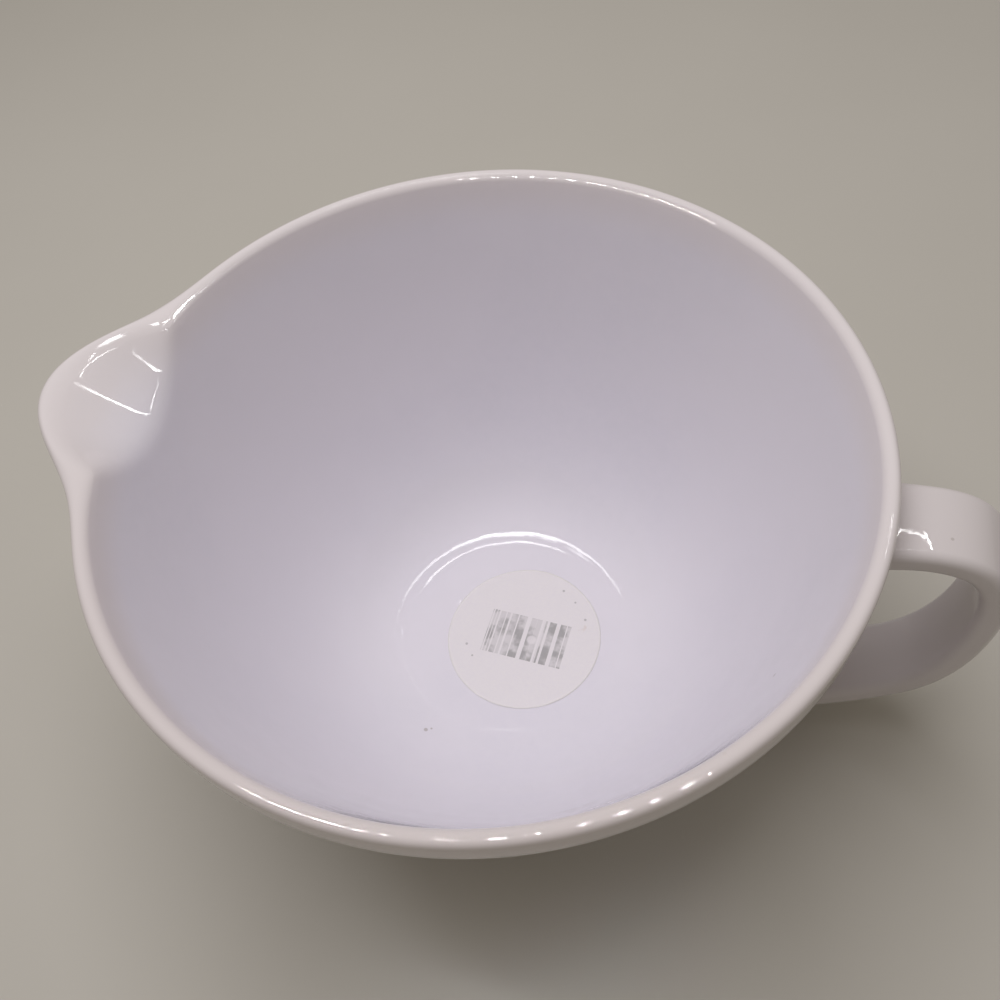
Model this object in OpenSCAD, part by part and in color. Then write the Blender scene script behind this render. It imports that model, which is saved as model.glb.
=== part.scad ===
// Batter bowl in glazed stoneware: a deep round bowl on a turned foot ring, with a pouring spout
// drawn out of its wall and a strap handle luted on opposite the spout.
// It stands on the XY plane with its axis on Z. The spout points to -X and the handle to +X.

/* [Bowl] */
// Outer diameter across the rim
rim_d = 228; // [200:1:260]
// Height from the table to the top of the rim
bowl_h = 130; // [120:1:145]
// Thickness of the wall
wall_t = 5; // [4:0.1:6]
// Thickness of the floor
floor_t = 6; // [5:0.1:8]
// Diameter of the flat part of the floor, inside
floor_d = 72; // [70:1:84]
// How far the inner curve is drawn out along the floor
corner_pull = 38; // [30:1:44]
// How far the inner curve is drawn down along the wall
wall_pull = 75; // [60:1:85]
// Slope of the wall just under the rim, in degrees from level
rim_slope = 75; // [70:1:80]

/* [Rim] */
// Radius of the lip's outer edge
lip_out_r = 2; // [1:0.1:3]
// Height of the upright band round the outside of the rim
band_h = 7; // [4:0.5:10]
// Height of the bevel under the band
band_bevel = 1; // [0.5:0.1:2]

/* [Spout] */
// Reach of the spout's tip past the rim
spout_reach = 21; // [12:1:24]
// Width of the spout's mouth between its two creases
mouth_w = 58; // [50:1:68]
// Depth of the trough below the rim, inside
trough_h = 17; // [14:1:21]
// Thickness of the lip at the spout's tip
tip_t = 6; // [5:0.1:7]
// Width over which the wall swells into the spout, outside
swell_w = 127; // [110:1:135]
// Height of the swelling below the rim, outside
swell_h = 24; // [20:1:30]
// Rise of the tip above the rim
tip_rise = 0.5; // [0:0.1:4]

/* [Foot] */
// Outer diameter of the foot ring
foot_d = 104; // [96:1:112]
// Width of the foot ring
foot_w = 6; // [5:0.5:9]
// Depth of the recess inside the foot ring
recess_h = 3; // [2:0.5:5]
// Rounding of the foot ring's two lower edges
foot_edge_r = 1.5; // [0.5:0.1:2]

/* [Handle] */
// Reach of the handle past the rim
handle_reach = 37.5; // [32:0.5:46]
// Width of the strap
strap_w = 25; // [20:1:30]
// Thickness of the strap
strap_t = 8.5; // [7:0.5:11]
// Rounding of the strap's long edges
strap_edge_r = 3; // [1.5:0.1:3.4]
// Height of the strap's outermost point above the table
bulge_h = 83; // [76:1:90]
// Depth of the upper root's middle below the top of the rim
upper_drop = 21; // [18:0.5:26]
// Width of the upper root at the wall
upper_w = 27; // [22:1:34]
// Height of the lower root's middle above the table
lower_h = 18; // [17:0.5:24]
// Width of the lower root at the wall
lower_w = 42; // [32:1:48]
// Thickness of both roots at the wall
root_t = 9.5; // [8.5:0.5:11]
// How far the strap's curve is drawn out from the upper root
upper_pull = 13; // [8:1:18]
// How far the strap's curve is drawn up from the outermost point
shoulder_pull = 41; // [35:1:48]
// How far the strap's curve is drawn down from the outermost point
back_pull = 70; // [60:1:80]
// How far the strap's curve is drawn out from the lower root
heel_pull = 40; // [30:1:50]

/* [Slip joints] */
// Height of the slip fillet along the strap
slip_h = 5; // [4:0.5:7]
// Width of the slip fillet along the wall
slip_w = 3.5; // [2.5:0.1:5]
// Thickness of the slip at its outer edge
slip_edge_t = 0.5; // [0.4:0.1:0.8]

/* [Price label] */
// Diameter of the round paper label on the floor
label_d = 57; // [40:1:58]
// Thickness of the paper
label_t = 0.15; // [0.1:0.05:0.3]
// How far the label lies off the axis towards the handle, as a share of the room on the floor
label_shift_share = 0.8; // [0:0.05:0.95]
// How far the label lies off the axis towards the front, as a share of the room on the floor
label_front_share = 0.1733; // [0:0.0001:0.3]

/* [Hidden] */

glaze_colour = [0.87, 0.85, 0.88];
slip_colour = [0.84, 0.82, 0.84];
paper_colour = [0.95, 0.94, 0.92];

rim_r = rim_d / 2;
floor_r = floor_d / 2;
foot_r = foot_d / 2;
lip_in_r = wall_t - lip_out_r;
lip_z = bowl_h - lip_out_r;
band_z = lip_z - band_h;
floor_z = recess_h + floor_t;

// Spans of the outline, counted in straight steps
steps_low = 9;
steps_high = 10;
steps_lip = 4;
// Columns of the spout's quarter of the wall, closer together by this share at its middle
columns = 48;
column_closeness_share = 0.75;
quarter_a = 90;
turn_fn = 240;
// A right angle, as the turn of arcs and the span of the smooth swellings
right_a = 90;
// Steps of the halving search along a curve
halvings = 26;

// The spout's quarter of the wall starts a little under the swelling. It is let into the turned
// wall by a tongue all round, and its faces lie just inside the turned ones.
quarter_margin = 2;
tongue = 0.6;
inset = 0.05;
quarter_z = lip_z - max(swell_h, trough_h) - quarter_margin;
tongue_a = asin(tongue / rim_r);
// Half angles of the mouth and of the swelling, seen from the axis
mouth_a = asin(mouth_w / 2 / (rim_r - wall_t));
swell_a = asin(swell_w / 2 / rim_r);
// How sharply the swelling rises and falls, and how it narrows downwards
swell_power = 5;
fall_power = 2;
swell_taper_share = 0.25;
// How softly the trough's floor eases into the wall, as a share of its depth to either side
crease_share = 0.2;

// A cubic curve through a and d, drawn towards b and c, and its direction
function curve(a, b, c, d, t) =
    pow(1 - t, 3) * a + 3 * pow(1 - t, 2) * t * b + 3 * (1 - t) * t * t * c + pow(t, 3) * d;
function curve_dir(a, b, c, d, t) =
    let (v = pow(1 - t, 2) * (b - a) + 2 * (1 - t) * t * (c - b) + t * t * (d - c)) v / norm(v);

// Inner line of the wall in [radius, height], from the flat floor to the lip
lip_middle_r = rim_r - lip_out_r;
lip_end = [lip_middle_r - lip_in_r * sin(rim_slope), bowl_h - lip_in_r + lip_in_r * cos(rim_slope)];
inner_a = [floor_r, floor_z];
inner_b = inner_a + [corner_pull, 0];
inner_c = lip_end - wall_pull * [cos(rim_slope), sin(rim_slope)];
function inner_at(t) = curve(inner_a, inner_b, inner_c, lip_end, t);
// A point that lies the given depth behind the inner line, square to it
function behind(t, depth) =
    let (v = curve_dir(inner_a, inner_b, inner_c, lip_end, t)) inner_at(t) + [v[1], -v[0]] * depth;
// Outer line: the inner line moved out by the thickness, which eases from floor to wall
function thick_at(t) = floor_t + (wall_t - floor_t) * t;
function outer_at(t) = behind(t, thick_at(t));

// Place along the inner or the outer line at a given height, by halving
function inner_t(z, lo = 0, hi = 1, n = halvings) =
    let (mid = (lo + hi) / 2)
    n == 0 ? mid : inner_at(mid)[1] < z ? inner_t(z, mid, hi, n - 1) : inner_t(z, lo, mid, n - 1);
function outer_t(z, lo = 0, hi = 1, n = halvings) =
    let (mid = (lo + hi) / 2)
    n == 0 ? mid : outer_at(mid)[1] < z ? outer_t(z, mid, hi, n - 1) : outer_t(z, lo, mid, n - 1);

inner_split = inner_t(quarter_z);
outer_split = outer_t(quarter_z);
outer_end = outer_t(band_z - band_bevel);
function between(a, b, n) = [for (i = [0 : n]) a + (b - a) * i / n];

// Outline of the wall in pieces, each moved into the wall by an amount e
function outer_line(from, to, n, e = 0) = [for (t = between(from, to, n)) behind(t, thick_at(t) - e)];
function band_line(e = 0) = [[rim_r - e, band_z + e]];
function lip_outside(e = 0) =
    [for (a = between(0, right_a, steps_lip)) [lip_middle_r, lip_z] + (lip_out_r - e) * [cos(a), sin(a)]];
function lip_inside(e = 0) = [
    for (i = [1 : steps_lip - 1]) let (a = right_a + rim_slope * i / steps_lip)
        [lip_middle_r, bowl_h - lip_in_r] + (lip_in_r - e) * [cos(a), sin(a)]
];
function inner_line(from, to, n, e = 0) = [for (t = between(from, to, n)) behind(t, e)];
// Drops a list's first point, which the list before it already holds
function rest(list) = [for (i = [1 : len(list) - 1]) list[i]];

outer_side = concat(
    [[0, recess_h]],
    outer_line(0, outer_split, steps_low),
    rest(outer_line(outer_split, outer_end, steps_high)),
    band_line(),
    lip_outside()
);
inner_side = concat(
    lip_inside(),
    inner_line(1, inner_split, steps_high),
    rest(inner_line(inner_split, 0, steps_low)),
    [[0, floor_z]]
);

// Turns an outline about the bowl's axis
module turned() {
    rotate([0, 0, quarter_a]) rotate_extrude($fn = turn_fn) children();
}
// The bowl's outer form without its hollow, which cuts the handle's roots to the wall
module outer_form() {
    turned() polygon(concat(outer_side, [[0, bowl_h]]));
}

// The foot ring's section, rounded at its lower edges and let into the floor
foot_bury = floor_t / 4;
module foot_outline() {
    turns = between(0, right_a, steps_lip);
    polygon(concat(
        [[foot_r, floor_z - foot_bury], [foot_r - foot_w, floor_z - foot_bury]],
        [for (a = turns)
            [foot_r - foot_w + foot_edge_r, foot_edge_r] - foot_edge_r * [cos(a), sin(a)]],
        [for (a = turns)
            [foot_r - foot_edge_r, foot_edge_r] + foot_edge_r * [sin(a), -cos(a)]]
    ));
}

// Outward swelling of the wall at an angle from the spout's middle and a depth below the lip
function swell(a, depth) =
    let (u = abs(a) / (swell_a * (1 - swell_taper_share * depth / swell_h)))
    depth >= swell_h || u >= 1 ? 0
        : spout_reach * pow(cos(right_a * u), swell_power)
            * pow(cos(right_a * depth / swell_h), fall_power);
// Outward push of the inner face, which makes the trough: a straight slope down its middle, round
// in plan, that eases into the wall over a soft crease
function soft(v) =
    v >= crease_share ? v : v <= -crease_share ? 0 : pow(v + crease_share, 2) / (4 * crease_share);
function trough(a, depth) =
    (spout_reach + wall_t - tip_t) * soft(1 - pow(a / mouth_a, 2) - depth / trough_h);
function rise(a, depth) =
    let (u = abs(a) / mouth_a)
    u >= 1 || depth >= trough_h ? 0 : tip_rise * pow(cos(right_a * u), 2) * (1 - depth / trough_h);

// The quarter's outline with the tongue below it, and how far each point is through the wall
quarter_outside = outer_line(outer_split, outer_end, steps_high, inset);
quarter_lip = concat(lip_outside(inset), lip_inside(inset));
quarter_inside = inner_line(1, inner_split, steps_high, inset);
quarter_line = concat(
    [quarter_outside[0] - [0, tongue]], quarter_outside, band_line(inset),
    quarter_lip,
    quarter_inside, [quarter_inside[steps_high] - [0, tongue]]
);
quarter_side_shares = concat(
    [for (i = [0 : len(quarter_outside) + 1]) 0],
    [for (p = quarter_lip) min(1, max(0, (rim_r - p[0]) / wall_t))],
    [for (i = [0 : len(quarter_inside)]) 1]
);
// One column of the quarter: its outline points, pushed out and set at their angle
function column(u) =
    let (
        closer = column_closeness_share + (1 - column_closeness_share) * u * u,
        a = (quarter_a / 2 + tongue_a) * u * closer,
        turn = quarter_a / 2 + a
    )
    [for (i = [0 : len(quarter_line) - 1])
        let (
            p = quarter_line[i],
            depth = max(0, lip_z - p[1]),
            side = quarter_side_shares[i],
            r = p[0] + (1 - side) * swell(a, depth) + side * trough(a, bowl_h - p[1])
        )
        [r * cos(turn), r * sin(turn), p[1] + rise(a, depth)]
    ];

// A closed solid through a row of loops that all have the same number of points. Its two end
// faces are ladders across the loop, from its first and last points to its middle ones.
function ladder(m, first) = [
    for (i = [0 : ceil(m / 2) - 2]) each [
        [first + i, first + i + 1, first + m - 1 - i],
        if (i + 1 < m - 2 - i) [first + i + 1, first + m - 2 - i, first + m - 1 - i]
    ]
];
function flipped(faces) = [for (f = faces) [f[0], f[2], f[1]]];
module loft(loops) {
    m = len(loops[0]);
    n = len(loops) - 1;
    polyhedron(
        points = [for (loop = loops) each loop],
        faces = concat(
            flipped(ladder(m, 0)),
            [for (j = [0 : n - 1]) for (i = [0 : m - 1])
                let (k = (i + 1) % m) each [
                    [j * m + i, j * m + k, (j + 1) * m + k],
                    [j * m + i, (j + 1) * m + k, (j + 1) * m + i]
                ]],
            ladder(m, n * m)
        )
    );
}

// The body: turned bowl and foot, with the quarter towards the spout lofted in
module bowl_body() {
    color(glaze_colour) {
        difference() {
            turned() polygon(concat(outer_side, inner_side));
            rotate([0, 0, 2 * right_a - quarter_a / 2])
                translate([0, 0, quarter_z]) cube([rim_d, rim_d, bowl_h]);
        }
        rotate([0, 0, 2 * right_a - quarter_a / 2]) loft([for (u = between(-1, 1, columns)) column(u)]);
        turned() foot_outline();
    }
}

// The strap's middle line in [x, z]: out of the wall under the rim, round and down, then in
// along the table to the belly. Both ends lie inside the wall.
strap_embed = wall_t;
function wall_x(z, y) = sqrt(pow(outer_at(outer_t(z))[0], 2) - y * y);
upper_z = bowl_h - upper_drop;
upper_end = [wall_x(upper_z - root_t / 2, upper_w / 2) - strap_embed, upper_z];
lower_end = [wall_x(lower_h - root_t / 2, lower_w / 2) - strap_embed, lower_h];
bulge = [rim_r + handle_reach - strap_t / 2, bulge_h];
strap_steps = 24;
// t runs from 0 at the upper end to 1 at the outermost point and 2 at the lower end
function strap_at(t) =
    t < 1
        ? curve(upper_end, upper_end + [upper_pull, 0], bulge + [0, shoulder_pull], bulge, t)
        : curve(bulge, bulge - [0, back_pull], lower_end + [heel_pull, 0], lower_end, t - 1);
function strap_dir(t) =
    t < 1
        ? curve_dir(upper_end, upper_end + [upper_pull, 0], bulge + [0, shoulder_pull], bulge, t)
        : curve_dir(bulge, bulge - [0, back_pull], lower_end + [heel_pull, 0], lower_end, t - 1);
// The strap widens and thickens smoothly over the last part of its way to each root
upper_spread_share = 0.45;
lower_spread_share = 0.65;
function ease(u) = let (v = min(max(u, 0), 1)) v * v * (3 - 2 * v);
function strap_width(t) =
    strap_w + (upper_w - strap_w) * ease(1 - t / upper_spread_share)
        + (lower_w - strap_w) * ease((t - 2 + lower_spread_share) / lower_spread_share);
function strap_thick(t) =
    strap_t + (root_t - strap_t) * (ease(1 - t / upper_spread_share)
        + ease((t - 2 + lower_spread_share) / lower_spread_share));

// Corner points of the strap's rounded section, as [across, through] and the same outward
corner_steps = 4;
corner_turns = [for (q = [0 : 3]) for (i = [0 : corner_steps]) right_a * (q + i / corner_steps)];
function corner_sign(i) =
    let (q = floor(i / (corner_steps + 1)))
    [q == 0 || q == 3 ? 1 : -1, q < 2 ? 1 : -1];
// A point of the strap's surface, grown outward by the given amount
function strap_point(t, i, grow = 0) =
    let (
        s = corner_sign(i),
        a = corner_turns[i],
        across = s[0] * (strap_width(t) / 2 - strap_edge_r) + (strap_edge_r + grow) * cos(a),
        through = s[1] * (strap_thick(t) / 2 - strap_edge_r) + (strap_edge_r + grow) * sin(a),
        c = strap_at(t),
        v = strap_dir(t)
    )
    [c[0] - v[1] * through, across, c[1] + v[0] * through];
strap_sides = len(corner_turns);
function strap_loop(t) = [for (i = [strap_sides - 1 : -1 : 0]) strap_point(t, i)];
module strap() {
    loft([for (j = [0 : 2 * strap_steps]) strap_loop(j / strap_steps)]);
}

module handle() {
    color(glaze_colour)
    difference() {
        strap();
        outer_form();
    }
}

// Distance of a point from the wall's outer face, measured level
function off_wall(p) = norm([p[0], p[1]]) - outer_at(outer_t(p[2]))[0];
// Place on one long line of the strap at a given distance from the wall, near the upper or the
// lower root; each search stays within this share of its half of the strap
root_share = 0.6;
function upper_place(i, gap, lo = 0, hi = root_share, n = halvings) =
    let (mid = (lo + hi) / 2)
    n == 0 ? mid : off_wall(strap_point(mid, i)) < gap
        ? upper_place(i, gap, mid, hi, n - 1) : upper_place(i, gap, lo, mid, n - 1);
function lower_place(i, gap, lo = 2 - root_share, hi = 2, n = halvings) =
    let (mid = (lo + hi) / 2)
    n == 0 ? mid : off_wall(strap_point(mid, i)) < gap
        ? lower_place(i, gap, lo, mid, n - 1) : lower_place(i, gap, mid, hi, n - 1);

// The slip's fillet: widest on the wall, hollow in section, thin at its outer edge
slip_steps = 5;
slip_embed = wall_t / 4;
function slip_grow(share) = slip_edge_t + (slip_w - slip_edge_t) * pow(1 - share, 2);
module slip_joint(upper) {
    shares = [-slip_embed / slip_h, for (j = [0 : slip_steps]) j / slip_steps];
    loops = [for (s = shares) [for (i = [strap_sides - 1 : -1 : 0])
        strap_point(upper ? upper_place(i, s * slip_h) : lower_place(i, s * slip_h), i,
            slip_grow(max(s, 0)))]];
    color(slip_colour)
    difference() {
        loft(upper ? loops : [for (j = [len(loops) - 1 : -1 : 0]) loops[j]]);
        strap();
        outer_form();
    }
}
module upper_slip_joint() {
    slip_joint(true);
}
module lower_slip_joint() {
    slip_joint(false);
}

// The label keeps to the flat part of the floor
label_room = floor_r - label_d / 2;
module price_label() {
    color(paper_colour)
    translate([label_room * label_shift_share, -label_room * label_front_share, floor_z])
        cylinder(d = label_d, h = label_t, $fn = turn_fn);
}

bowl_body();
handle();
upper_slip_joint();
lower_slip_joint();
price_label();
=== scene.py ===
"""A batter bowl in white glazed stoneware, dressed for its portrait.

The bowl, the strap handle, the two slip fillets and the paper label are rebuilt as smooth meshes
from the same profile and curves as the solid parts. Then come their materials, the pale table, the
light and the camera. Lengths are in metres, with +Z up, the spout to -X and the handle to +X.
"""
import math

import bpy
import numpy as np
from mathutils import Matrix, Vector


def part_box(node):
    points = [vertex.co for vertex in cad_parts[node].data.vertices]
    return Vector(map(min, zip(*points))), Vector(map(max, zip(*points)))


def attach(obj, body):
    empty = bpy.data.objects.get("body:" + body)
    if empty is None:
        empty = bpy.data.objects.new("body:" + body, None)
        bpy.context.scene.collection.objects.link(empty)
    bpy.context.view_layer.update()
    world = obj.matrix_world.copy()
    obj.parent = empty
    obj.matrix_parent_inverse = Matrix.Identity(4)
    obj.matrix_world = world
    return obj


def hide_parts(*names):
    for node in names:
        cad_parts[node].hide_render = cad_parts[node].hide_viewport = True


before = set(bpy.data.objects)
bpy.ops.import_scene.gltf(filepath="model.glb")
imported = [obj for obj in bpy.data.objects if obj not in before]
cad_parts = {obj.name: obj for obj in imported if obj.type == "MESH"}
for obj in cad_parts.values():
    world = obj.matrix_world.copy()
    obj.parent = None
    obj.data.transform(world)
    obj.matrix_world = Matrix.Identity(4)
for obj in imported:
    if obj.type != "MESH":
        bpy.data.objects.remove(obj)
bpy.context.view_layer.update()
MM = 0.001

# Sizes of the whole, from the frame
body_low, body_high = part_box("bowl_body")
_, handle_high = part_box("handle")
label_low, label_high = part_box("price_label")
RIM_R = body_high.y
SPOUT_REACH = -body_low.x - RIM_R
TIP_RISE = 0.5 * MM
LOFT_INSET = 0.05 * MM
BOWL_H = body_high.z + LOFT_INSET - TIP_RISE
HANDLE_X = handle_high.x
LABEL_R = (label_high.x - label_low.x) / 2
LABEL_MIDDLE = (label_low + label_high) / 2
FLOOR_Z = label_low.z

# Wall
WALL_T = 5 * MM
FLOOR_T = 6 * MM
FLOOR_R = 36 * MM
CORNER_PULL = 38 * MM
WALL_PULL = 75 * MM
RIM_SLOPE = math.radians(75)
LIP_OUT_R = 2 * MM
LIP_IN_R = WALL_T - LIP_OUT_R
LIP_Z = BOWL_H - LIP_OUT_R
BAND_H = 7 * MM
BAND_BEVEL = 1 * MM
BAND_EDGE_R = 0.5 * MM

# Spout
MOUTH_A = math.asin(29 * MM / (RIM_R - WALL_T))
TROUGH_H = 17 * MM
TROUGH_CREASE = 0.2
TIP_T = 6 * MM
SWELL_A = math.asin(63.5 * MM / RIM_R)
SWELL_H = 24 * MM
SWELL_POWER = 5
FALL_POWER = 2
SWELL_TAPER = 0.25

# Foot
FOOT_R = 52 * MM
FOOT_W = 6 * MM
FOOT_EDGE_R = 1.5 * MM
FOOT_FILLET = 1.2 * MM
FOOT_LOOP = 0.2 * MM
RECESS_H = 3 * MM

# Handle
STRAP_W = 25 * MM
STRAP_T = 8.5 * MM
STRAP_EDGE_R = 3 * MM
BULGE_Z = 83 * MM
UPPER_Z = BOWL_H - 21 * MM
UPPER_W = 27 * MM
LOWER_Z = 18 * MM
LOWER_W = 42 * MM
ROOT_T = 9.5 * MM
UPPER_PULL = 13 * MM
SHOULDER_PULL = 41 * MM
BACK_PULL = 70 * MM
HEEL_PULL = 40 * MM
UPPER_SPREAD = 0.45
LOWER_SPREAD = 0.65
SLIP_H = 5 * MM
SLIP_W = 3.5 * MM
SLIP_OVER = 0.5 * MM
SLIP_SINK = 0.3 * MM
ROOT_EMBED = 1.5 * MM
ROOT_SEARCH = 0.6
ROOT_STEPS = 400
STRAP_STEPS = 160
SLIP_STEPS = 12
SECTION_STEPS = 8
SECTION_GAP = 1e-6


# Curves shared by the meshes
def curve(a, b, c, d, t):
    """Points of a cubic curve through a and d, drawn towards b and c."""
    a, b, c, d = (np.asarray(p, float) for p in (a, b, c, d))
    t = np.asarray(t, float)[..., None]
    return (1 - t) ** 3 * a + 3 * (1 - t) ** 2 * t * b + 3 * (1 - t) * t**2 * c + t**3 * d


def curve_dir(a, b, c, d, t):
    """Unit vectors along the same curve."""
    a, b, c, d = (np.asarray(p, float) for p in (a, b, c, d))
    t = np.asarray(t, float)[..., None]
    v = (1 - t) ** 2 * (b - a) + 2 * (1 - t) * t * (c - b) + t**2 * (d - c)
    return v / np.linalg.norm(v, axis=-1, keepdims=True)


def ease(u):
    """Smooth step from 0 to 1."""
    v = np.clip(u, 0, 1)
    return v * v * (3 - 2 * v)


def arc(middle, radius, start, end, steps):
    """Points [r, z] of an arc, angles in radians from +r towards +z."""
    a = np.linspace(start, end, steps + 1)
    return np.stack([middle[0] + radius * np.cos(a), middle[1] + radius * np.sin(a)], 1)


LIP_MIDDLE_R = RIM_R - LIP_OUT_R
LIP_END = (
    LIP_MIDDLE_R - LIP_IN_R * math.sin(RIM_SLOPE),
    BOWL_H - LIP_IN_R + LIP_IN_R * math.cos(RIM_SLOPE),
)
WALL_LINE = (
    (FLOOR_R, FLOOR_Z),
    (FLOOR_R + CORNER_PULL, FLOOR_Z),
    (LIP_END[0] - WALL_PULL * math.cos(RIM_SLOPE), LIP_END[1] - WALL_PULL * math.sin(RIM_SLOPE)),
    LIP_END,
)


def inner_at(t):
    """Points [r, z] of the wall's inner face, from the floor at t = 0 to the lip at t = 1."""
    return curve(*WALL_LINE, t)


def outer_at(t):
    """The same for the outer face, one wall's thickness away."""
    v = curve_dir(*WALL_LINE, t)
    thick = FLOOR_T + (WALL_T - FLOOR_T) * np.asarray(t)[..., None]
    return inner_at(t) + np.stack([v[..., 1], -v[..., 0]], -1) * thick


FINE = np.linspace(0, 1, 2001)
OUTER_FINE = outer_at(FINE)


def outer_radius(z):
    """Radius of the wall's outer face at height z."""
    return np.interp(z, OUTER_FINE[:, 1], OUTER_FINE[:, 0])


def outer_t_at_radius(r):
    """Where the outer face has the radius r, as a t of outer_at."""
    return float(np.interp(r, OUTER_FINE[:, 0], FINE))


# Bowl
WALL_STEPS = 84
FLOOR_STEPS = 7
LIP_STEPS = 8
FOOT_STEPS = 5
SPOUT_HALF_A = math.radians(38)
SPOUT_TURNS = 170
ROUND_TURNS = 144


def bowl_outline():
    """Points [r, z, side] from the middle of the floor inside, over the lip and under the foot.
    side is 1 on the inner face and 0 on the outer one, and it runs from 1 to 0 over the lip."""
    floor_r = np.linspace(0, FLOOR_R, FLOOR_STEPS + 1)[:-1]
    inside = np.concatenate([
        np.stack([floor_r, np.full(FLOOR_STEPS, FLOOR_Z)], 1),
        inner_at(np.linspace(0, 1, WALL_STEPS)),
    ])
    lip_in = (LIP_MIDDLE_R, BOWL_H - LIP_IN_R)
    lip_out = (LIP_MIDDLE_R, LIP_Z)
    lip = np.concatenate([
        arc(lip_in, LIP_IN_R, math.pi / 2 + RIM_SLOPE, math.pi / 2, LIP_STEPS)[1:],
        arc(lip_out, LIP_OUT_R, math.pi / 2, 0, LIP_STEPS)[1:],
    ])
    band_z = LIP_Z - BAND_H
    band_edge_t = np.interp(band_z - BAND_BEVEL, OUTER_FINE[:, 1], FINE)
    band = np.array([
        [RIM_R, LIP_Z - BAND_H / 3],
        [RIM_R, LIP_Z - 2 * BAND_H / 3],
        [RIM_R, band_z + BAND_EDGE_R],
        [RIM_R - BAND_EDGE_R / 4, band_z],
        [RIM_R - BAND_EDGE_R, band_z - BAND_EDGE_R / 2],
    ])
    foot_t = outer_t_at_radius(FOOT_R + FOOT_FILLET)
    outside = outer_at(np.linspace(float(band_edge_t), foot_t, WALL_STEPS))
    foot_top = outside[-1, 1] - FOOT_FILLET
    inner_r = FOOT_R - FOOT_W
    inner_t = outer_t_at_radius(inner_r - FOOT_FILLET)
    recess_edge = outer_at(inner_t)
    outer_edge = (FOOT_R - FOOT_EDGE_R, FOOT_EDGE_R)
    inner_edge = (inner_r + FOOT_EDGE_R, FOOT_EDGE_R)
    recess_r = np.linspace(FLOOR_R, 0, FOOT_STEPS + 1)[1:]
    foot = np.concatenate([
        [[FOOT_R, foot_top], [FOOT_R, FOOT_EDGE_R + FOOT_LOOP]],
        arc(outer_edge, FOOT_EDGE_R, 0, -math.pi / 2, FOOT_STEPS),
        arc(inner_edge, FOOT_EDGE_R, -math.pi / 2, -math.pi, FOOT_STEPS),
        [[inner_r, recess_edge[1] - FOOT_FILLET]],
        outer_at(np.linspace(inner_t, 0, FLOOR_STEPS + 1)),
        np.stack([recess_r, np.full(FOOT_STEPS, RECESS_H)], 1),
    ])
    points = np.concatenate([inside, lip, band, outside, foot])
    side = np.concatenate([
        np.ones(len(inside)),
        np.clip((RIM_R - lip[:, 0]) / WALL_T, 0, 1),
        np.zeros(len(band) + len(outside) + len(foot)),
    ])
    return np.column_stack([points, side])


def swell(a, depth):
    """Outward swelling of the wall, at an angle from the spout's middle and a depth below the lip."""
    u = np.abs(a) / (SWELL_A * (1 - SWELL_TAPER * np.minimum(depth, SWELL_H) / SWELL_H))
    inside = (depth < SWELL_H) & (u < 1)
    u, d = np.minimum(u, 1), np.minimum(depth / SWELL_H, 1)
    form = np.cos(np.pi / 2 * u) ** SWELL_POWER * np.cos(np.pi / 2 * d) ** FALL_POWER
    return np.where(inside, SPOUT_REACH * form, 0)


def trough(a, depth):
    """Outward push of the inner face: a straight slope, round in plan, with a soft crease."""
    v = 1 - (a / MOUTH_A) ** 2 - depth / TROUGH_H
    crease = np.clip(v + TROUGH_CREASE, 0, 2 * TROUGH_CREASE) ** 2 / (4 * TROUGH_CREASE)
    return (SPOUT_REACH + WALL_T - TIP_T) * (crease + np.maximum(v - TROUGH_CREASE, 0))


def rise(a, depth):
    """Upward lift of the lip at the spout's tip."""
    u = np.minimum(np.abs(a) / MOUTH_A, 1)
    return (TIP_RISE - LOFT_INSET) * np.cos(np.pi / 2 * u) ** 2 * np.clip(1 - depth / TROUGH_H, 0, 1)


def grid_faces(rows, cols):
    """Quads between the points of a grid whose last row joins its first."""
    i, j = np.meshgrid(np.arange(rows), np.arange(cols - 1), indexing="ij")
    k = (i + 1) % rows
    quads = np.stack([i * cols + j, k * cols + j, k * cols + j + 1, i * cols + j + 1], -1)
    return quads.reshape(-1, 4).tolist()


def mesh_object(name, points, faces):
    mesh = bpy.data.meshes.new(name)
    mesh.from_pydata([tuple(p) for p in points], [], faces)
    mesh.validate()
    mesh.polygons.foreach_set("use_smooth", [True] * len(mesh.polygons))
    mesh.update()
    piece = bpy.data.objects.new(name, mesh)
    bpy.context.scene.collection.objects.link(piece)
    return piece


def make_bowl():
    """The outline turned about the axis in small steps at the spout and wider ones elsewhere."""
    outline = bowl_outline()
    turns = np.concatenate([
        np.linspace(-SPOUT_HALF_A, SPOUT_HALF_A, SPOUT_TURNS + 1)[:-1],
        np.linspace(SPOUT_HALF_A, 2 * np.pi - SPOUT_HALF_A, ROUND_TURNS + 1)[:-1],
    ])
    ring = outline[1:-1]
    points = []
    for turn in turns:
        a = (turn + np.pi) % (2 * np.pi) - np.pi
        depth = np.maximum(LIP_Z - ring[:, 1], 0)
        outward = (1 - ring[:, 2]) * swell(a, depth)
        inward = ring[:, 2] * trough(a, BOWL_H - ring[:, 1])
        r = ring[:, 0] + outward + inward
        z = ring[:, 1] + rise(a, depth)
        points.append(np.stack([-r * np.cos(a), r * np.sin(a), z], 1))
    points = np.concatenate(points)
    n, m = len(turns), len(ring)
    faces = grid_faces(n, m)
    top, bottom = n * m, n * m + 1
    for i in range(n):
        k = (i + 1) % n
        faces.append([top, k * m, i * m])
        faces.append([bottom, i * m + m - 1, k * m + m - 1])
    ends = [[0, 0, outline[0, 1]], [0, 0, outline[-1, 1]]]
    return mesh_object("glazed_bowl", np.concatenate([points, ends]), faces)


# Strap handle and its slip joints
def wall_x(z, y):
    """Where the wall's outer face lies towards the handle, at height z and y to the side."""
    return math.sqrt(outer_radius(z) ** 2 - y * y)


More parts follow.
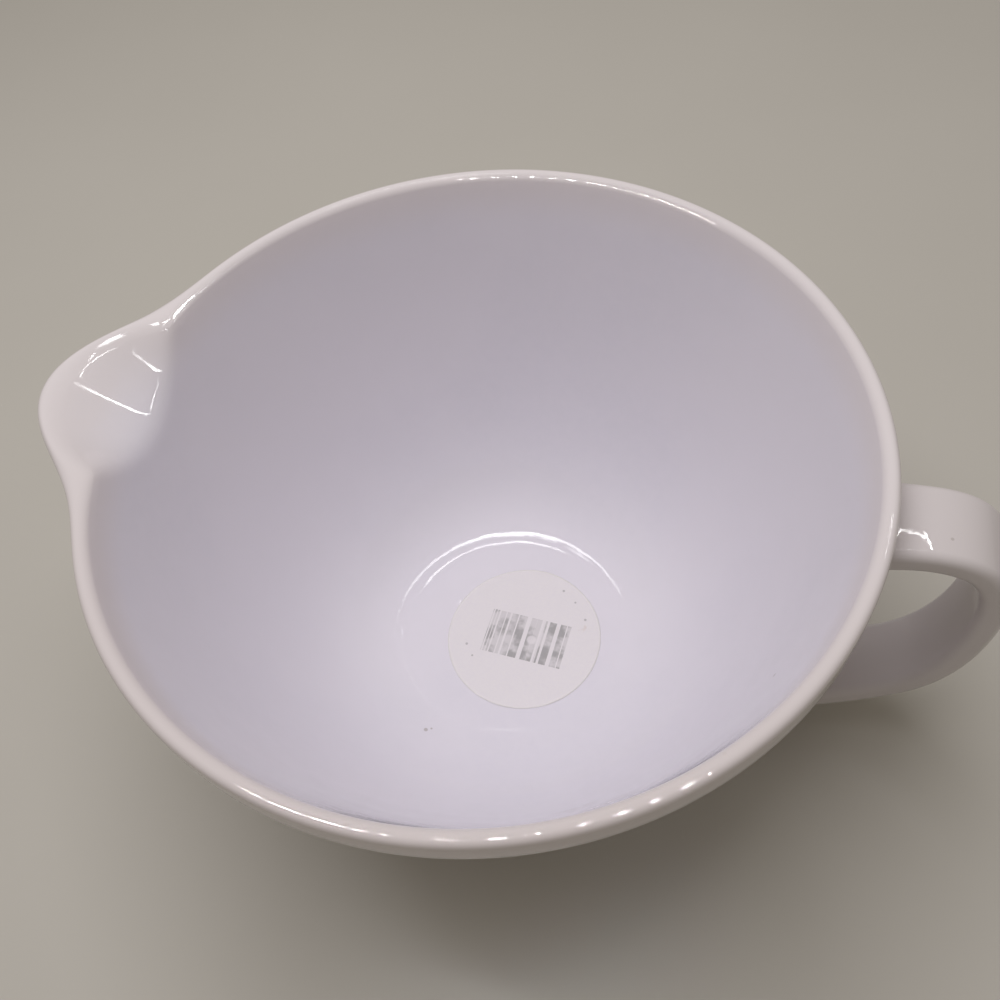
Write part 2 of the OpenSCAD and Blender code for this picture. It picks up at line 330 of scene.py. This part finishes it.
UPPER_END = (wall_x(UPPER_Z - ROOT_T / 2, UPPER_W / 2) - WALL_T, UPPER_Z)
LOWER_END = (wall_x(LOWER_Z - ROOT_T / 2, LOWER_W / 2) - WALL_T, LOWER_Z)
BULGE = (HANDLE_X - STRAP_T / 2, BULGE_Z)
SHOULDER = (BULGE[0], BULGE_Z + SHOULDER_PULL)
BACK = (BULGE[0], BULGE_Z - BACK_PULL)
UPPER_LINE = (UPPER_END, (UPPER_END[0] + UPPER_PULL, UPPER_Z), SHOULDER, BULGE)
LOWER_LINE = (BULGE, BACK, (LOWER_END[0] + HEEL_PULL, LOWER_Z), LOWER_END)


def strap_line(t, function):
    """function of the strap's middle line: t is 0 at the upper end, 1 at the bulge, 2 at the lower."""
    t = np.asarray(t, float)
    upper = function(*UPPER_LINE, np.minimum(t, 1))
    lower = function(*LOWER_LINE, np.maximum(t - 1, 0))
    return np.where((t < 1)[..., None], upper, lower)


def strap_points(t, turn, grow):
    """Points of the strap's surface at places t and section angles turn, grown outward."""
    upper = ease(1 - t / UPPER_SPREAD)
    lower = ease((t - 2 + LOWER_SPREAD) / LOWER_SPREAD)
    width = STRAP_W + (UPPER_W - STRAP_W) * upper + (LOWER_W - STRAP_W) * lower
    thick = STRAP_T + (ROOT_T - STRAP_T) * (upper + lower)
    quarter = np.floor(turn / (np.pi / 2)).astype(int) % 4
    sign_a = np.where((quarter == 0) | (quarter == 3), 1, -1)
    sign_t = np.where(quarter < 2, 1, -1)
    across = sign_a * (width / 2 - STRAP_EDGE_R) + (STRAP_EDGE_R + grow) * np.cos(turn)
    through = sign_t * (thick / 2 - STRAP_EDGE_R) + (STRAP_EDGE_R + grow) * np.sin(turn)
    c, v = strap_line(t, curve), strap_line(t, curve_dir)
    return np.stack([c[..., 0] - v[..., 1] * through, across, c[..., 1] + v[..., 0] * through], -1)


def section_turns():
    """Section angles: each rounded corner's quarter turn, a hair short of its two ends."""
    quarter = np.linspace(SECTION_GAP, np.pi / 2 - SECTION_GAP, SECTION_STEPS + 1)
    return np.concatenate([quarter + np.pi / 2 * q for q in range(4)])


def places_off_wall(turns, heights, upper):
    """For each height off the wall, the place on each long line of the strap that lies so far off."""
    first, last = (0, ROOT_SEARCH) if upper else (2, 2 - ROOT_SEARCH)
    search = np.linspace(first, last, ROOT_STEPS)
    t, turn = np.meshgrid(search, turns, indexing="ij")
    line = strap_points(t, turn, 0.0)
    gap = np.hypot(line[..., 0], line[..., 1]) - outer_radius(line[..., 2])
    lines = range(len(turns))
    return [np.array([np.interp(h, gap[:, j], search) for j in lines]) for h in heights]


def make_handle():
    """The strap, closed at both ends a little inside the wall."""
    turns = section_turns()
    start = places_off_wall(turns, [-ROOT_EMBED], True)[0]
    end = places_off_wall(turns, [-ROOT_EMBED], False)[0]
    share = np.linspace(0, 1, STRAP_STEPS + 1)[:, None]
    t = start + (end - start) * share
    points = strap_points(t, np.broadcast_to(turns, t.shape), 0.0)
    n, m = points.shape[:2]
    faces = loop_faces(n, m)
    faces += [list(range(m - 1, -1, -1)), list(range((n - 1) * m, n * m))]
    return mesh_object("strap_handle", points.reshape(-1, 3), faces)


def loop_faces(n, m, wrap=False):
    """Quads between n closed loops of m points; wrap joins the last loop to the first."""
    i, j = np.meshgrid(np.arange(n if wrap else n - 1), np.arange(m), indexing="ij")
    k = (j + 1) % m
    next_i = (i + 1) % n
    quads = np.stack([i * m + j, i * m + k, next_i * m + k, next_i * m + j], -1)
    return quads.reshape(-1, 4).tolist()


def make_slip_joint(name, upper):
    """The fillet of slip between strap and wall: tangent to the wall below and to the strap above.
    Its back lies in the wall and in the strap."""
    turns = section_turns()
    sweep = np.linspace(0, np.pi / 2, SLIP_STEPS + 1)
    back = [SLIP_H + SLIP_OVER, -ROOT_EMBED]
    heights = np.concatenate([[-ROOT_EMBED], SLIP_H * (1 - np.cos(sweep)), back])
    grows = np.concatenate([[SLIP_W], SLIP_W * (1 - np.sin(sweep)), [-SLIP_SINK, -SLIP_SINK]])
    places = places_off_wall(turns, heights, upper)
    points = np.array([strap_points(place, turns, grow) for place, grow in zip(places, grows)])
    n, m = points.shape[:2]
    faces = loop_faces(n, m, wrap=True)
    if not upper:
        faces = [f[::-1] for f in faces]
    return mesh_object(name, points.reshape(-1, 3), faces)


# Paper label
LABEL_T = 0.15 * MM
LABEL_RINGS = 40
LABEL_TURNS = 144
# The paper's edge has curled up in two places: angle and spread in radians, and share of the full lift
CURL_LIFT = 0.55 * MM
CURL_START = 0.86
CURLS = ((1.5, 0.35, 1.0), (0.5, 0.2, 0.4))


def label_lift(x, y):
    """How far the paper has lifted off the floor."""
    r = np.hypot(x, y) / LABEL_R
    a = np.arctan2(y, x)
    curled = sum(share * np.exp(-(((a - turn) / spread) ** 2)) for turn, spread, share in CURLS)
    return CURL_LIFT * np.clip((r - CURL_START) / (1 - CURL_START), 0, 1) ** 2 * curled


def make_label():
    """A closed disc: rings from the middle of its face out to the edge and back underneath."""
    rings = np.linspace(0, 1, LABEL_RINGS + 1)[1:]
    turns = np.linspace(0, 2 * np.pi, LABEL_TURNS, endpoint=False)
    r, a = np.meshgrid(rings * LABEL_R, turns, indexing="ij")
    x, y = r * np.cos(a), r * np.sin(a)
    low = np.stack([x, y, label_lift(x, y)], -1)
    top = low + [0, 0, LABEL_T]
    loops = np.concatenate([top, low[::-1]])
    n, m = loops.shape[:2]
    middles = [[0, 0, LABEL_T], [0, 0, 0]]
    points = np.concatenate([loops.reshape(-1, 3), middles])
    points += [LABEL_MIDDLE.x, LABEL_MIDDLE.y, FLOOR_Z]
    faces = [f[::-1] for f in loop_faces(n, m)]
    last = (n - 1) * m
    for j in range(m):
        k = (j + 1) % m
        faces.append([n * m, j, k])
        faces.append([n * m + 1, last + k, last + j])
    return mesh_object("paper_label", points, faces)


bowl = make_bowl()
handle = make_handle()
upper_slip = make_slip_joint("upper_slip_fillet", True)
lower_slip = make_slip_joint("lower_slip_fillet", False)
label = make_label()
for piece, node, slot in (
    (bowl, "bowl_body", "glaze"),
    (handle, "handle", "glaze"),
    (upper_slip, "upper_slip_joint", "slip"),
    (lower_slip, "lower_slip_joint", "slip"),
    (label, "price_label", "label_paper"),
):
    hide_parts(node)
    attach(piece, "root")


# Materials
class Nodes:
    """A material's node tree, with short calls for the nodes that these materials use."""

    def __init__(self, name):
        self.material = bpy.data.materials.new(name)
        self.material.use_nodes = True
        self.tree = self.material.node_tree
        self.shader = next(n for n in self.tree.nodes if n.type == "BSDF_PRINCIPLED")
        coordinates = self.add("ShaderNodeTexCoord")
        self.place = coordinates.outputs["Object"]
        self.normal = coordinates.outputs["Normal"]

    def add(self, kind, **settings):
        node = self.tree.nodes.new(kind)
        for key, value in settings.items():
            setattr(node, key, value)
        return node

    def put(self, socket, value):
        """Links value to the socket, or sets it there if it is a plain number or colour."""
        if isinstance(value, bpy.types.NodeSocket):
            self.tree.links.new(value, socket)
        elif isinstance(value, tuple) and len(value) == 3 and len(socket.default_value) == 4:
            socket.default_value = (*value, 1)
        else:
            socket.default_value = value

    def math(self, operation, *values, clamp=False):
        node = self.add("ShaderNodeMath", operation=operation, use_clamp=clamp)
        for socket, value in zip(node.inputs, values):
            self.put(socket, value)
        return node.outputs[0]

    def noise(self, scale, detail=2.0, roughness=0.5):
        node = self.add("ShaderNodeTexNoise")
        self.put(node.inputs["Vector"], self.place)
        node.inputs["Scale"].default_value = scale
        node.inputs["Detail"].default_value = detail
        node.inputs["Roughness"].default_value = roughness
        return node.outputs["Fac"]

    def ramp(self, value, low, high, out_low=0.0, out_high=1.0):
        """Smooth step of value from low to high."""
        node = self.add("ShaderNodeMapRange", interpolation_type="SMOOTHSTEP")
        self.put(node.inputs["Value"], value)
        self.put(node.inputs["From Min"], low)
        self.put(node.inputs["From Max"], high)
        self.put(node.inputs["To Min"], out_low)
        self.put(node.inputs["To Max"], out_high)
        return node.outputs[0]

    def product(self, first, *others):
        for other in others:
            first = self.math("MULTIPLY", first, other)
        return first

    def length(self, x, y):
        return self.math("SQRT", self.math("ADD", self.product(x, x), self.product(y, y)))

    def mix(self, share, first, second):
        """Colour from first to second. Sockets 6, 7 and 2 are the node's colour ones."""
        node = self.add("ShaderNodeMix", data_type="RGBA")
        self.put(node.inputs["Factor"], share)
        self.put(node.inputs[6], first)
        self.put(node.inputs[7], second)
        return node.outputs[2]

    def axes(self, place=None):
        node = self.add("ShaderNodeSeparateXYZ")
        self.put(node.inputs[0], place or self.place)
        return node.outputs

    def bump(self, height, distance, normal=None):
        node = self.add("ShaderNodeBump")
        self.put(node.inputs["Height"], height)
        node.inputs["Distance"].default_value = distance
        node.inputs["Strength"].default_value = 1.0
        if normal is not None:
            self.put(node.inputs["Normal"], normal)
        return node.outputs[0]


# Colours and surface of the glaze, its specks and the bare clay, and the painted light and shade on the
# glaze
GLAZE = (0.770, 0.744, 0.815)
GLAZE_COOL = (0.735, 0.714, 0.79)
# Painted warm light: the tint that the warm room reflects onto the lip and the spout
PAINTED_WARM_LIGHT = (0.765, 0.71, 0.715)
# Painted shade for the lip's near side
PAINTED_NEAR_SHADE = (0.68, 0.622, 0.630)
# Painted shade: the strap's glaze made darker and a little warmer, as where the light falls off and the
# table's warm bounce reaches it
STRAP_PAINTED_SHADE = (0.66, 0.612, 0.615)
SPECK = (0.30, 0.25, 0.22)
CLAY = (0.62, 0.53, 0.43)
CLAY_PALE = (0.70, 0.62, 0.52)
SPECK_PITCH = 13 * MM
SPECK_R = 0.35 * MM
SPECK_SHARE = 0.16
GLAZE_WAVE_H = 0.12 * MM
GLAZE_PEEL_H = 0.012 * MM


def glaze_colours(n):
    """The glaze's colour, with its soft unevenness and its fine dark specks."""
    cloud = n.ramp(n.noise(11.0, 3.0, 0.55), 0.35, 0.68)
    grain = n.ramp(n.noise(240.0, 3.0, 0.6), 0.3, 0.7, 0.0, 0.35)
    colour = n.mix(cloud, GLAZE, GLAZE_COOL)
    colour = n.mix(grain, colour, GLAZE)
    cells = n.add("ShaderNodeTexVoronoi")
    n.put(cells.inputs["Vector"], n.place)
    cells.inputs["Scale"].default_value = 1 / SPECK_PITCH
    pick = n.add("ShaderNodeSeparateColor")
    n.put(pick.inputs[0], cells.outputs["Color"])
    chosen = n.math("LESS_THAN", pick.outputs[0], SPECK_SHARE)
    size = n.product(pick.outputs[1], SPECK_R / SPECK_PITCH)
    near = n.math("LESS_THAN", cells.outputs["Distance"], size)
    return n.mix(n.product(near, chosen, 0.75), colour, SPECK)


def glaze_finish(n, colour):
    """Sets the glassy coat with its faint rubbing; returns its roughness and its slightly wavy skin."""
    n.put(n.shader.inputs["Base Color"], colour)
    rough = n.ramp(n.noise(36.0, 4.0, 0.65), 0.45, 0.75, 0.03, 0.07)
    n.put(n.shader.inputs["Roughness"], rough)
    n.shader.inputs["IOR"].default_value = 1.52
    skin = n.bump(n.noise(60.0, 1.0, 0.4), GLAZE_WAVE_H)
    skin = n.bump(n.noise(420.0, 2.0, 0.5), GLAZE_PEEL_H, normal=skin)
    return rough, skin


def spots(n, places):
    """A mask that is 1 within each of the places, given as a point and a radius."""
    mask = 0.0
    for point, radius in places:
        away = n.add("ShaderNodeVectorMath", operation="DISTANCE")
        n.put(away.inputs[0], n.place)
        away.inputs[1].default_value = point
        mask = n.math("MAXIMUM", mask, n.ramp(away.outputs["Value"], radius, 0.6 * radius))
    return mask


# Iron specks in the glaze
BOWL_SPECKS = (
    ((0.0896, -0.0386, 0.0872), 0.8 * MM),
    ((-0.0208, -0.0438, 0.0109), 0.9 * MM),
    ((-0.0190, -0.0428, 0.0107), 0.6 * MM),
    ((0.0760, -0.0800, 0.1295), 0.6 * MM),
)
STRAP_SPECKS = (((0.1297, -0.0052, 0.1156), 0.6 * MM),)
# Where painted warm light, reflected from the warm room, tints the glaze: over a depth below the lip,
# and across the rim
WARM_DEPTH = 16 * MM
WARM_IN = 4 * MM
WARM_OUT = 6 * MM
# Where painted shade dims the lip, towards the near side
SHADE_START_Y = 20 * MM
SHADE_END_Y = -90 * MM
# Two scuffs on the wall: height, first and last angle in degrees about the axis, and half width
LONG_SCUFF = (61 * MM, -78, -50, 4.5 * MM)
SHORT_SCUFF = (48 * MM, -69, -54, 3.5 * MM)
SCUFF_WOBBLE = 8 * MM
SCUFF_FADE = 0.12
# Bare clay at the foot: where it starts, where it is full, how uneven that is and how high its grit
CLAY_TOP = 1.3 * MM
CLAY_FULL = 0.8 * MM
CLAY_WOBBLE = 0.6 * MM
GRIT_H = 0.05 * MM


def lip_painted_light(n, colour):
    """The colour with painted warm reflected light towards the lip and past the rim, and painted shade
    on the lip's near side.
    """
    x, y, z = n.axes()
    # Painted warm reflected light towards the lip and past the rim
    near_lip = n.ramp(z, LIP_Z - WARM_DEPTH, BOWL_H, 0.0, 0.7)
    past_rim = n.ramp(n.length(x, y), RIM_R - WARM_IN, RIM_R + WARM_OUT, 0.0, 0.6)
    colour = n.mix(n.math("MAXIMUM", near_lip, past_rim), colour, PAINTED_WARM_LIGHT)
    # Painted shade on the lip's near side
    near_shade = n.ramp(y, SHADE_START_Y, SHADE_END_Y)
    return n.mix(n.product(near_lip, near_shade), colour, PAINTED_NEAR_SHADE)


def scuff(n, angle, wobble, height, start, end, width):
    """A mask that is 1 along a level line on the wall, between two angles."""
    middle = n.math("ADD", height, wobble)
    off = n.math("ABSOLUTE", n.math("SUBTRACT", n.axes()[2], middle))
    start, end = math.radians(start), math.radians(end)
    starts = n.ramp(angle, start, start + SCUFF_FADE)
    ends = n.ramp(angle, end, end - SCUFF_FADE)
    return n.product(n.ramp(off, width, width / 2), starts, ends)


def scuff_marks(n):
    """A mask of both scuffs, on the inner face only: there the surface faces the axis."""
    x, y, _ = n.axes()
    angle = n.math("ARCTAN2", y, x)
    wobble = n.product(n.math("SUBTRACT", n.noise(16.0, 2.0), 0.5), SCUFF_WOBBLE)
    long_mark = scuff(n, angle, wobble, *LONG_SCUFF)
    short_mark = n.product(scuff(n, angle, wobble, *SHORT_SCUFF), 0.6)
    broken = n.ramp(n.noise(300.0, 2.0), 0.3, 0.6)
    out_x, out_y, _ = n.axes(n.normal)
    outward = n.math("ADD", n.product(x, out_x), n.product(y, out_y))
    inside = n.math("LESS_THAN", outward, 0.0)
    return n.product(n.math("MAXIMUM", long_mark, short_mark), broken, inside)


def bowl_material():
    n = Nodes("white_glaze_painted_light")
    colour = glaze_colours(n)
    colour = n.mix(n.product(spots(n, BOWL_SPECKS), 0.5), colour, SPECK)
    colour = lip_painted_light(n, colour)
    marks = scuff_marks(n)
    colour = n.mix(n.product(marks, 0.32), colour, SPECK)
    edge = n.math("ADD", n.axes()[2], n.product(n.noise(90.0, 3.0), CLAY_WOBBLE))
    bare = n.ramp(edge, CLAY_TOP, CLAY_FULL)
    clay = n.mix(n.noise(600.0, 3.0, 0.7), CLAY, CLAY_PALE)
    rough, skin = glaze_finish(n, n.mix(bare, colour, clay))
    duller = n.math("ADD", n.product(marks, 0.25), n.product(bare, 0.7))
    n.put(n.shader.inputs["Roughness"], n.math("ADD", rough, duller, clamp=True))
    grit = n.product(n.noise(1500.0, 2.0), bare)
    n.put(n.shader.inputs["Normal"], n.bump(grit, GRIT_H, normal=skin))
    return n.material


def strap_material(name):
    n = Nodes(name)
    # Mostly painted shade: the strap and slip glaze pulled darker and warmer for the light that falls
    # off there
    colour = n.mix(0.8, glaze_colours(n), STRAP_PAINTED_SHADE)
    colour = n.mix(n.product(spots(n, STRAP_SPECKS), 0.35), colour, SPECK)
    _, skin = glaze_finish(n, colour)
    n.put(n.shader.inputs["Normal"], skin)
    return n.material


# Colours and print of the label
PAPER = (0.765, 0.735, 0.77)
PAPER_EDGE = (0.84, 0.82, 0.80)
INK = (0.30, 0.295, 0.30)
STAIN = (0.60, 0.47, 0.40)
PRINT_W = 30.4 * MM
PRINT_H = 17.6 * MM
PRINT_TURN = math.radians(-5.2)
PRINT_PLACE = (6.9 * MM, -1.8 * MM)
BAR_PITCH = 1.9 * MM
EDGE_W = 1.2 * MM
STAIN_FADE = 20 * MM
PAPER_WAVE_H = 0.12 * MM


def label_place(x, y):
    """A point on the label's face, from millimetres off its middle."""
    return (LABEL_MIDDLE.x + x * MM, LABEL_MIDDLE.y + y * MM, label_high.z)


# Small dark marks where dirt has stuck to the paper
LABEL_MARKS = (
    (label_place(11.2, 21.5), 0.6 * MM),
    (label_place(16.4, 17.3), 0.5 * MM),
    (label_place(21.3, 10.7), 0.6 * MM),
    (label_place(-20.5, -6.4), 0.6 * MM),
    (label_place(-17.4, -10.7), 0.5 * MM),
)
# Where the print has rubbed off
WORN_PLACES = ((label_place(3.0, -0.8), 2.2 * MM),)


def printed_bars(n):
    """A mask of the block of uneven bars, faded in places."""
    print_place = n.add("ShaderNodeMapping", vector_type="TEXTURE")
    n.put(print_place.inputs["Vector"], n.place)
    print_place.inputs["Location"].default_value = (*PRINT_PLACE, 0)
    print_place.inputs["Rotation"].default_value = (0, 0, PRINT_TURN)
    u, v, _ = n.axes(print_place.outputs[0])
    inside_u = n.math("LESS_THAN", n.math("ABSOLUTE", u), PRINT_W / 2)
    inside_v = n.math("LESS_THAN", n.math("ABSOLUTE", v), PRINT_H / 2)
    bars = n.add("ShaderNodeTexNoise", noise_dimensions="1D")
    n.put(bars.inputs["W"], u)
    bars.inputs["Scale"].default_value = 1 / BAR_PITCH
    bars.inputs["Detail"].default_value = 1.0
    bar = n.ramp(bars.outputs["Fac"], 0.44, 0.48)
    faded = n.ramp(n.noise(120.0, 3.0, 0.6), 0.40, 0.58, 0.3, 1.0)
    return n.product(inside_u, inside_v, bar, faded)


def label_material():
    n = Nodes("label_paper")
    fibre = n.ramp(n.noise(900.0, 4.0, 0.7), 0.3, 0.7)
    colour = n.mix(n.product(fibre, 0.25), PAPER, PAPER_EDGE)
    x, y, _ = n.axes()
    dx, dy = n.math("SUBTRACT", x, LABEL_MIDDLE.x), n.math("SUBTRACT", y, LABEL_MIDDLE.y)
    rim = n.ramp(n.length(dx, dy), LABEL_R - EDGE_W, LABEL_R)
    colour = n.mix(n.product(rim, 0.5), colour, PAPER_EDGE)
    blot = n.product(n.ramp(n.noise(120.0, 4.0, 0.75), 0.62, 0.72), n.ramp(dx, 0.0, STAIN_FADE))
    colour = n.mix(n.product(blot, 0.28), colour, STAIN)
    colour = n.mix(n.product(spots(n, LABEL_MARKS), 0.55), colour, INK)
    unworn = n.math("SUBTRACT", 1.0, n.product(spots(n, WORN_PLACES), 0.8))
    colour = n.mix(n.product(printed_bars(n), unworn, 0.8), colour, INK)
    n.put(n.shader.inputs["Base Color"], colour)
    n.put(n.shader.inputs["Roughness"], n.ramp(fibre, 0.0, 1.0, 0.5, 0.75))
    n.put(n.shader.inputs["Normal"], n.bump(n.noise(140.0, 4.0, 0.6), PAPER_WAVE_H))
    return n.material


bowl.data.materials.append(bowl_material())
handle.data.materials.append(strap_material("strap_glaze_painted_shade"))
slip_material = strap_material("slip_glaze_painted_shade")
upper_slip.data.materials.append(slip_material)
lower_slip.data.materials.append(slip_material)
label.data.materials.append(label_material())


# Table
TABLE_HALF = 4.0
TABLE_LIGHT = (0.59, 0.57, 0.53)
TABLE_DARK = (0.55, 0.53, 0.49)


def make_table():
    h = TABLE_HALF
    table = mesh_object("table", [(-h, -h, 0), (h, -h, 0), (h, h, 0), (-h, h, 0)], [[0, 1, 2, 3]])
    n = Nodes("pale_table")
    n.put(n.shader.inputs["Base Color"], n.mix(n.noise(7.0, 3.0), TABLE_DARK, TABLE_LIGHT))
    n.shader.inputs["Roughness"].default_value = 0.55
    table.data.materials.append(n.material)


make_table()


# Light
def area_light(name, place, target, size_x, size_y, power, colour=(1, 1, 1)):
    """A rectangular lamp that faces the target."""
    light = bpy.data.lights.new(name, "AREA")
    light.shape = "RECTANGLE"
    light.size, light.size_y = size_x, size_y
    light.energy = power
    light.color = colour
    lamp = bpy.data.objects.new(name, light)
    bpy.context.scene.collection.objects.link(lamp)
    lamp.location = place
    lamp.rotation_euler = (Vector(target) - Vector(place)).to_track_quat("-Z", "Y").to_euler()
    lamp.visible_camera = False
    return lamp


def strip_light(name, start, end, target, spread, glow, width):
    """A strip lamp from start to end that only mirrors show. Its beam is spread degrees wide and aims
    at the target, and its brightness is glow, whatever its size."""
    start, end, target = Vector(start), Vector(end), Vector(target)
    middle, along = (start + end) / 2, end - start
    power = glow * math.pi * along.length * width
    lamp = area_light(name, middle, target, along.length, width, power)
    lamp.data.spread = math.radians(spread)
    lamp.visible_diffuse = False
    facing = (middle - target).normalized()
    x = (along - along.dot(facing) * facing).normalized()
    turn = Matrix((x, facing.cross(x), facing)).transposed().to_4x4()
    lamp.matrix_world = Matrix.Translation(middle) @ turn


def strip_path(name, height, places, target, spread, glow, width):
    """Strips joined end to end through the places [x, y] at one height."""
    points = [(x, y, height) for x, y in places]
    for i, (start, end) in enumerate(zip(points[:-1], points[1:])):
        strip_light(f"{name}_{i}", start, end, target, spread, glow, width)


# The soft lamp overhead, which no mirror shows
KEY_PLACE = (-0.12, 0.10, 0.90)
KEY_TARGET = (0, 0, 0.05)
KEY_SIZE = 0.7
KEY_POWER = 5.25
KEY_COLOUR = (1, 0.98, 0.99)
key = area_light("soft_overhead", KEY_PLACE, KEY_TARGET, KEY_SIZE, KEY_SIZE, KEY_POWER, KEY_COLOUR)
key.visible_glossy = False

# A frame that the spout's trough mirrors
FRAME_Z = 0.24
SPOUT_TROUGH = (-0.116, 0.008, 0.122)
spout_frame = ((-0.090, 0.059), (0.051, 0.071), (0.035, -0.038), (-0.075, -0.036), (-0.090, 0.059))
strip_path("frame", FRAME_Z, spout_frame, SPOUT_TROUGH, spread=34, glow=0.8, width=4 * MM)

# Two bent strips that the far edge of the floor mirrors as arcs
ARC_Z = 0.25
FLOOR_EDGE = (-0.014, 0.050, FLOOR_Z)
outer_arc = ((-0.033, 0.110), (-0.038, 0.089), (-0.064, 0.104))
inner_arc = ((-0.076, 0.126), (-0.050, 0.140), (-0.032, 0.134))
strip_path("outer_arc", ARC_Z, outer_arc, FLOOR_EDGE, spread=38, glow=0.45, width=9 * MM)
strip_path("inner_arc", ARC_Z, inner_arc, FLOOR_EDGE, spread=30, glow=0.3, width=7 * MM)

# Strips that the lip mirrors on the far side of the spout
LIP_LINE_Z = 0.24
SPOUT_LIP = (-0.106, 0.032, 0.129)
SPOUT_LIP_END = (-0.116, 0.025, BOWL_H)
lip_line = ((-0.100, 0.024), (-0.079, 0.039), (-0.059, 0.064), (-0.021, 0.059))
lip_end = ((-0.101, 0.006, LIP_LINE_Z), (-0.130, 0.042, LIP_LINE_Z))
strip_path("lip_line", LIP_LINE_Z, lip_line, SPOUT_LIP, spread=24, glow=1.6, width=2.5 * MM)
strip_light("lip_end", *lip_end, SPOUT_LIP_END, spread=18, glow=0.3, width=9 * MM)

# Strips that the top of the handle mirrors beside its upper root
WINDOW_Z = 0.30
HANDLE_TOP = (0.120, -0.008, 0.115)
edge_line = ((0.108, 0.018), (0.174, 0.031))
window = ((0.110, 0.100), (0.116, 0.108), (0.158, 0.099))
window_end = ((0.152, 0.108), (0.171, 0.082))
strip_path("edge_line", WINDOW_Z, edge_line, HANDLE_TOP, spread=26, glow=0.8, width=2 * MM)
strip_path("window", WINDOW_Z, window, HANDLE_TOP, spread=24, glow=0.7, width=1 * MM)
strip_path("window_end", WINDOW_Z, window_end, HANDLE_TOP, spread=24, glow=0.7, width=3 * MM)

# A row of short strips that the rim mirrors as dashes
ROW_Y = -0.10
ROW_Z = 0.40
DASH_R = 0.112
# Near rim: the first few are long enough to join, and the first half are dimmer
NEAR_START = -0.145
NEAR_PITCH = 0.03
NEAR_COUNT = 12
NEAR_JOINED = 3
JOINED_HALF = 0.0142
NEAR_HALF = 0.006
NEAR_DIM = 6
DIM_GLOW = 4.5
NEAR_GLOW = 7.5
# Far rim
FAR_START = -0.280
FAR_PITCH = 0.0155
FAR_COUNT = 20
FAR_HALF = 0.002


def near_angle(x):
    """Angle in degrees of the near rim's point that mirrors the row's place x to the camera."""
    return -77 + 180 * x


def far_angle(x):
    """The same for the far rim."""
    return 102.6 + 210 * x + 190 * x * x


def rim_dash(name, x, half, angle, spread, glow, width):
    """A strip in the row, aimed at the point of the rim that mirrors it."""
    a = math.radians(angle)
    target = (DASH_R * math.cos(a), DASH_R * math.sin(a), BOWL_H)
    start, end = (x - half, ROW_Y, ROW_Z), (x + half, ROW_Y, ROW_Z)
    strip_light(name, start, end, target, spread, glow, width)


for i in range(NEAR_COUNT):
    x = NEAR_START + NEAR_PITCH * i
    half = JOINED_HALF if i < NEAR_JOINED else NEAR_HALF
    glow = DIM_GLOW if i < NEAR_DIM else NEAR_GLOW
    rim_dash(f"near_dash_{i}", x, half, near_angle(x), spread=22, glow=glow, width=7 * MM)
for i in range(FAR_COUNT):
    x = FAR_START + FAR_PITCH * i
    rim_dash(f"far_dash_{i}", x, FAR_HALF, far_angle(x), spread=18, glow=1, width=40 * MM)

# The dim warm room
ROOM_COLOUR = (0.95, 0.86, 0.72, 1)
ROOM_STRENGTH = 0.25
world = bpy.data.worlds.new("pale_room")
world.use_nodes = True
bpy.context.scene.world = world
background = world.node_tree.nodes["Background"]
background.inputs["Color"].default_value = ROOM_COLOUR
background.inputs["Strength"].default_value = ROOM_STRENGTH

# Camera, solved from the round rim, with its place in rim radii from the rim's middle
CAMERA_PLACE = Vector((0.55445, -1.48594, 2.03077))
CAMERA_RIGHT = Vector((0.974159, 0.209660, -0.083971))
CAMERA_DOWN = Vector((0.128001, -0.818859, -0.559530))
CAMERA_FORWARD = Vector((-0.186068, 0.534327, -0.824547))
CAMERA_UNIT = 114 * MM
RIM_SILHOUETTE_Z = 127.7 * MM
SENSOR_MM = 36
LENS_MM = 37.614
camera_data = bpy.data.cameras.new("camera")
camera_data.sensor_width = SENSOR_MM
camera_data.lens = LENS_MM
camera = bpy.data.objects.new("camera", camera_data)
bpy.context.scene.collection.objects.link(camera)
axes = Matrix((CAMERA_RIGHT, -CAMERA_DOWN, -CAMERA_FORWARD)).transposed()
place = CAMERA_PLACE * CAMERA_UNIT + Vector((0, 0, RIM_SILHOUETTE_Z))
camera.matrix_world = Matrix.Translation(place) @ axes.to_4x4()
bpy.context.scene.camera = camera
bpy.context.scene.view_settings.view_transform = "Standard"
